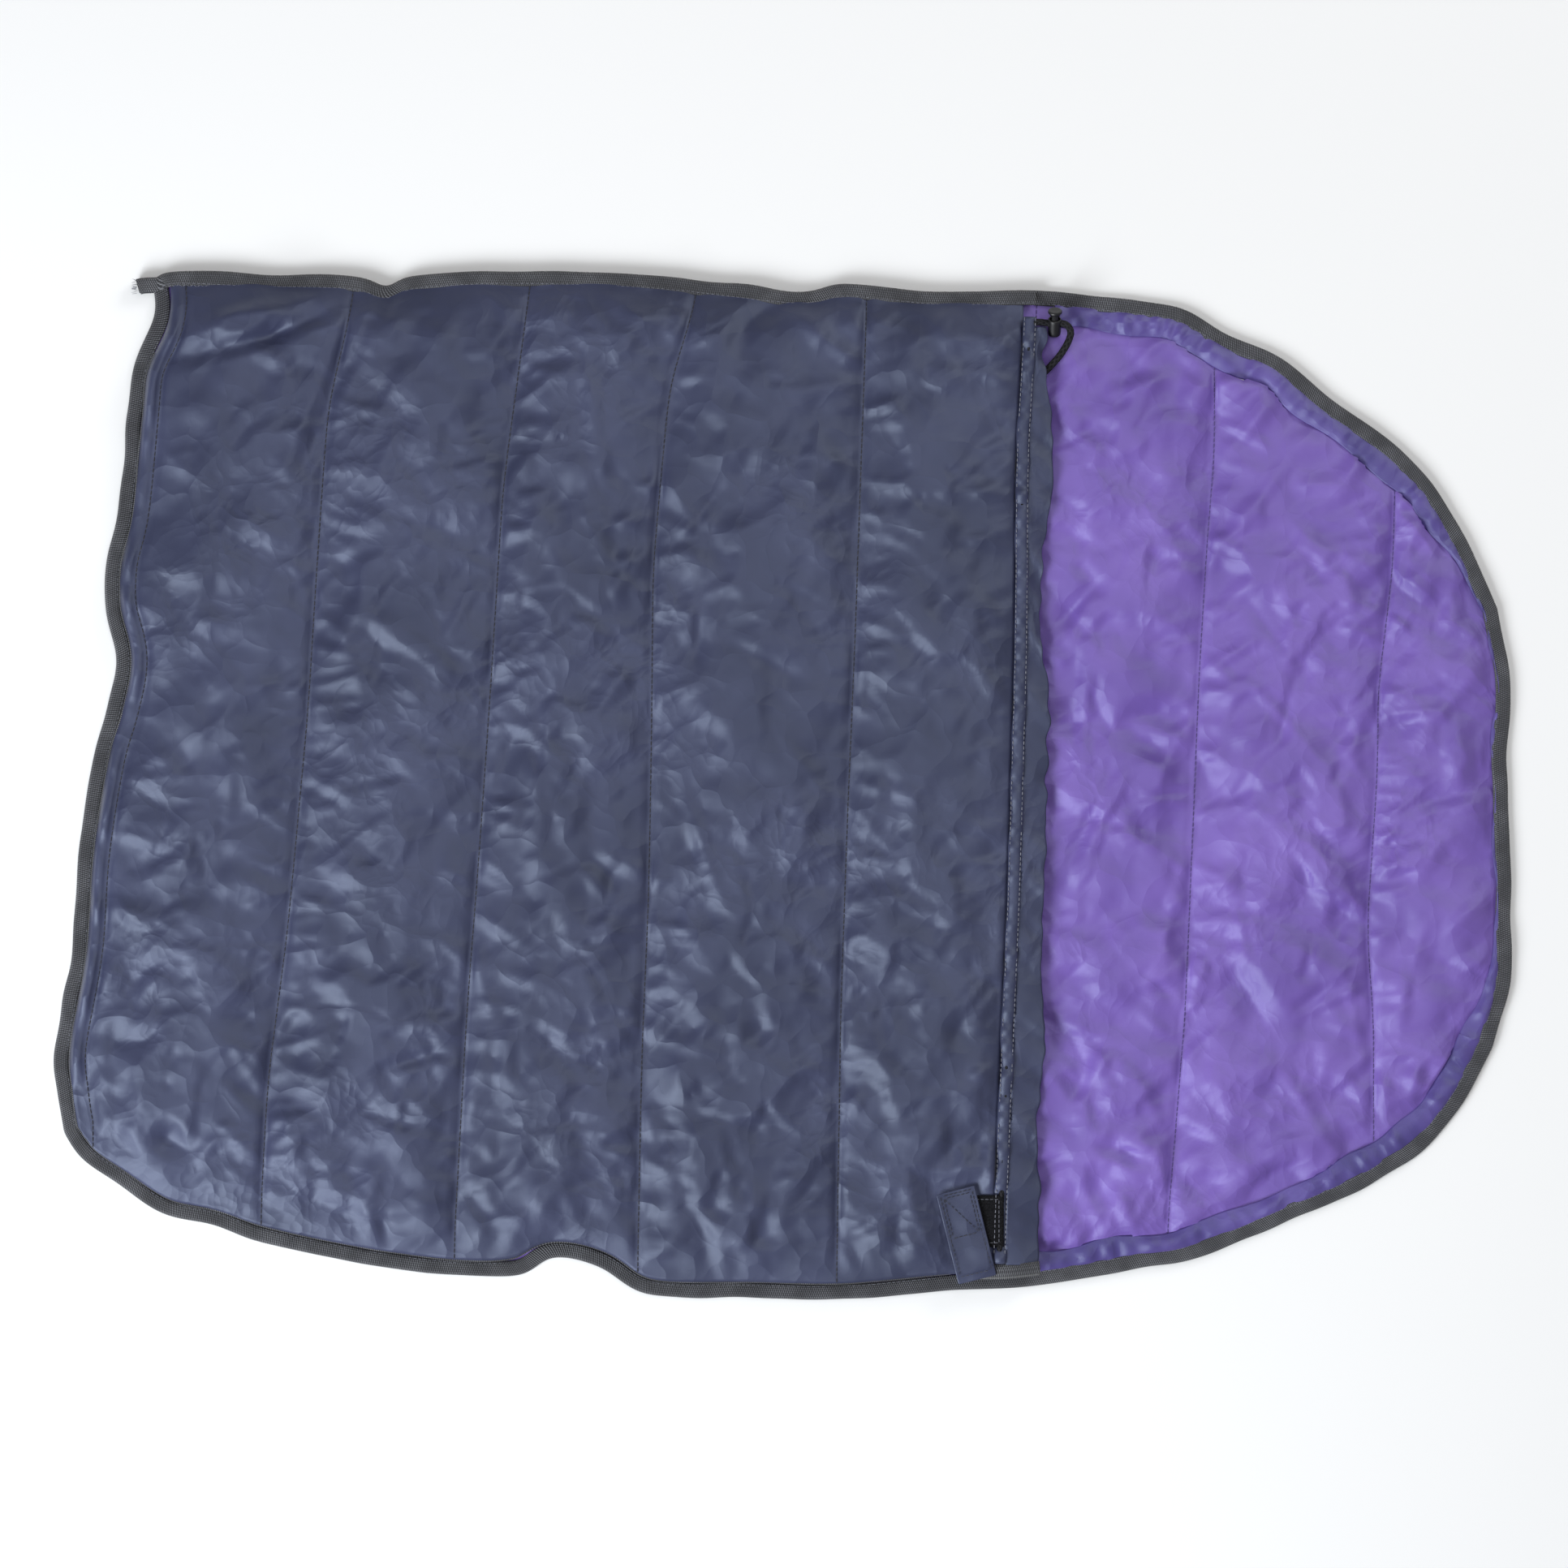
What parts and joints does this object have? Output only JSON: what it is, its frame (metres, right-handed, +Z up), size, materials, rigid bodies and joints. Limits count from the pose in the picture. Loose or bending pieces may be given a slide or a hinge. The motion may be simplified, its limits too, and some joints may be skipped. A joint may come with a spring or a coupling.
{
  "type": "quilted sleeping bag",
  "caption": "Child-size quilted blanket bag laid flat: a padded base with a round head and a hinged padded cover with a drawcord mouth, a side zip and a hook-and-loop tab.",
  "frame": {"origin": "centre of the flat bag, at the surface it lies on", "axes": "+X from the foot to the round head, +Y to the side where cover and base are sewn together, +Z up"},
  "size_m": [1.0424, 0.7368, 0.03],
  "materials": {
    "shell_cloth": "slate-blue taffeta, satin sheen",
    "lining_cloth": "violet taffeta, satin sheen",
    "wadding": "matt polyester wadding",
    "edge_webbing": "ribbed dark grey webbing",
    "black_cord": "braided black cord",
    "black_plastic": "satin black plastic",
    "spring_steel": "plain steel wire",
    "loop_pile": "black fuzzy loop",
    "hook_pile": "black hook tape",
    "zip_tape": "woven dark grey tape",
    "zip_coil": "nylon coil",
    "zip_metal": "gunmetal plate"
  },
  "bodies": {
    "root": {"base_shell": "shell_cloth", "base_lining": "lining_cloth", "base_fill": "wadding", "base_edge_tape": "edge_webbing", "fold_edge_tape": "edge_webbing", "cover_sewn_edge": "shell_cloth", "head_rim_strip": "shell_cloth", "zip_tape_base": "zip_tape", "zip_teeth_base": "zip_coil", "zip_box": "zip_metal", "zip_top_stop": "zip_metal"},
    "cover": {"cover_lining": "lining_cloth", "cover_shell": "shell_cloth", "cover_fill": "wadding", "cover_edge_tape": "edge_webbing", "drawcord_casing": "shell_cloth", "mouth_flap": "shell_cloth", "drawcord": "black_cord", "drawcord_loop": "black_cord", "loop_patch": "loop_pile", "zip_tape_cover": "zip_tape", "zip_teeth_cover": "zip_coil", "zip_pin": "zip_metal"},
    "tab": {"tab_strap": "shell_cloth", "tab_hook_patch": "hook_pile"},
    "zip_slider": {"zip_slider": "zip_metal"},
    "zip_pull": {"zip_pull": "zip_metal"},
    "cord_lock": {"cord_lock_barrel": "black_plastic", "cord_lock_spring": "spring_steel"},
    "lock_button": {"cord_lock_button": "black_plastic"}
  },
  "joints": [
    {"name": "cover_open", "type": "hinge", "parent": "root", "child": "cover", "pos_m": [0, 0.353, 0.015], "axis": [-1, 0, 0], "range_deg": [0, 180]},
    {"name": "tab_peel", "type": "hinge", "parent": "cover", "child": "tab", "pos_m": [0.138, -0.3515, 0.0225], "axis": [0.9703, 0.2419, 0], "range_deg": [0, 165]},
    {"name": "zip_slide", "type": "slide", "parent": "root", "child": "zip_slider", "axis": [-0.9979, 0.0652, 0], "range_m": [0, 0.5]},
    {"name": "pull_swing", "type": "hinge", "parent": "zip_slider", "child": "zip_pull", "pos_m": [0.15206, -0.34927, 0.0099], "axis": [0, 0, -1], "range_deg": [0, 165]},
    {"name": "lock_slide", "type": "slide", "parent": "cover", "child": "cord_lock", "axis": [1, 0, 0], "range_m": [0, 0.01], "deforming": ["drawcord_loop"]},
    {"name": "button_press", "type": "slide", "parent": "cord_lock", "child": "lock_button", "axis": [0, -0.8192, -0.5736], "range_m": [0, 0.0035], "stiffness_N_per_m": 400, "springref_m": -0.004, "deforming": ["cord_lock_spring"]}
  ]
}
